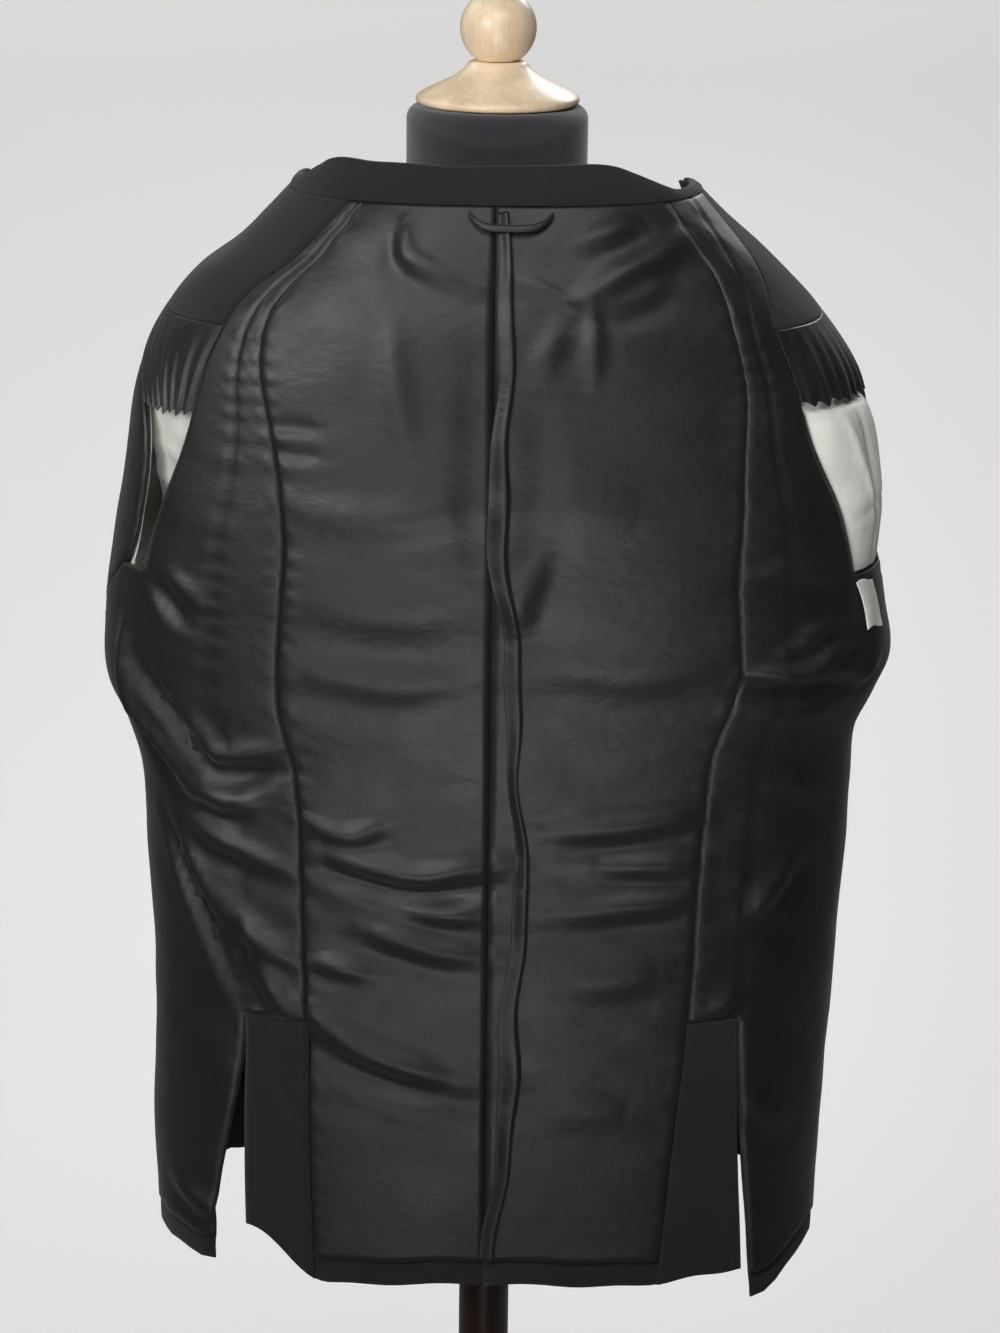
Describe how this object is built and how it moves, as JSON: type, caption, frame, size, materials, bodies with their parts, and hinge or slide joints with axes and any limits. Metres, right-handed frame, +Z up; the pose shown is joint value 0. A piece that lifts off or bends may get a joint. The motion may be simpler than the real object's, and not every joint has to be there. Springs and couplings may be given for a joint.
{
  "type": "suit jacket turned inside out on a dress form",
  "caption": "Dark suit jacket turned inside out, with its satin lining outermost and its sleeves hanging inside, on a limbless dress form with a turned wooden cap, pole and round base.",
  "frame": {"origin": "middle of the base's flat underside", "axes": "+Z up along the pole, -Y toward the jacket's back, +X toward the right of someone who looks at its back"},
  "size_m": [0.5579, 0.35, 1.556],
  "materials": {
    "lining_satin": "dark grey-black satin lining with a soft sheen",
    "suit_wool": "matte charcoal wool suiting",
    "sleeve_lining_white": "off-white sleeve lining",
    "form_jersey": "black jersey, stretched smooth",
    "cap_wood": "pale turned wood, lightly lacquered",
    "stand_wood": "dark red-brown lacquered wood",
    "button": "dark horn-coloured plastic"
  },
  "bodies": {
    "root": {"back_left": "suit_wool", "back_lining_left": "lining_satin", "back_lining_right": "lining_satin", "back_right": "suit_wool", "cap_knob": "cap_wood", "centre_back_pleat": "lining_satin", "collar": "suit_wool", "form_torso": "form_jersey", "front_button_1": "button", "front_button_2": "button", "front_facing_left": "suit_wool", "front_facing_right": "suit_wool", "front_left": "suit_wool", "front_lining_left": "lining_satin", "front_lining_right": "lining_satin", "front_right": "suit_wool", "hanger_loop": "lining_satin", "lapel_left": "suit_wool", "lapel_right": "suit_wool", "lining_tab_right": "sleeve_lining_white", "neck_cap": "cap_wood", "pulled_lining_right": "sleeve_lining_white", "side_left": "suit_wool", "side_lining_left": "lining_satin", "side_lining_right": "lining_satin", "side_right": "suit_wool", "sleeve_head_left": "lining_satin", "sleeve_head_right": "lining_satin", "sleeve_lining_left": "sleeve_lining_white", "sleeve_lining_right": "sleeve_lining_white", "stand_base": "stand_wood", "stand_pole": "stand_wood", "top_sleeve_left": "suit_wool", "top_sleeve_right": "suit_wool", "under_sleeve_left": "suit_wool", "under_sleeve_right": "suit_wool", "vent_facing_left": "suit_wool", "vent_facing_right": "suit_wool"}
  },
  "joints": []
}
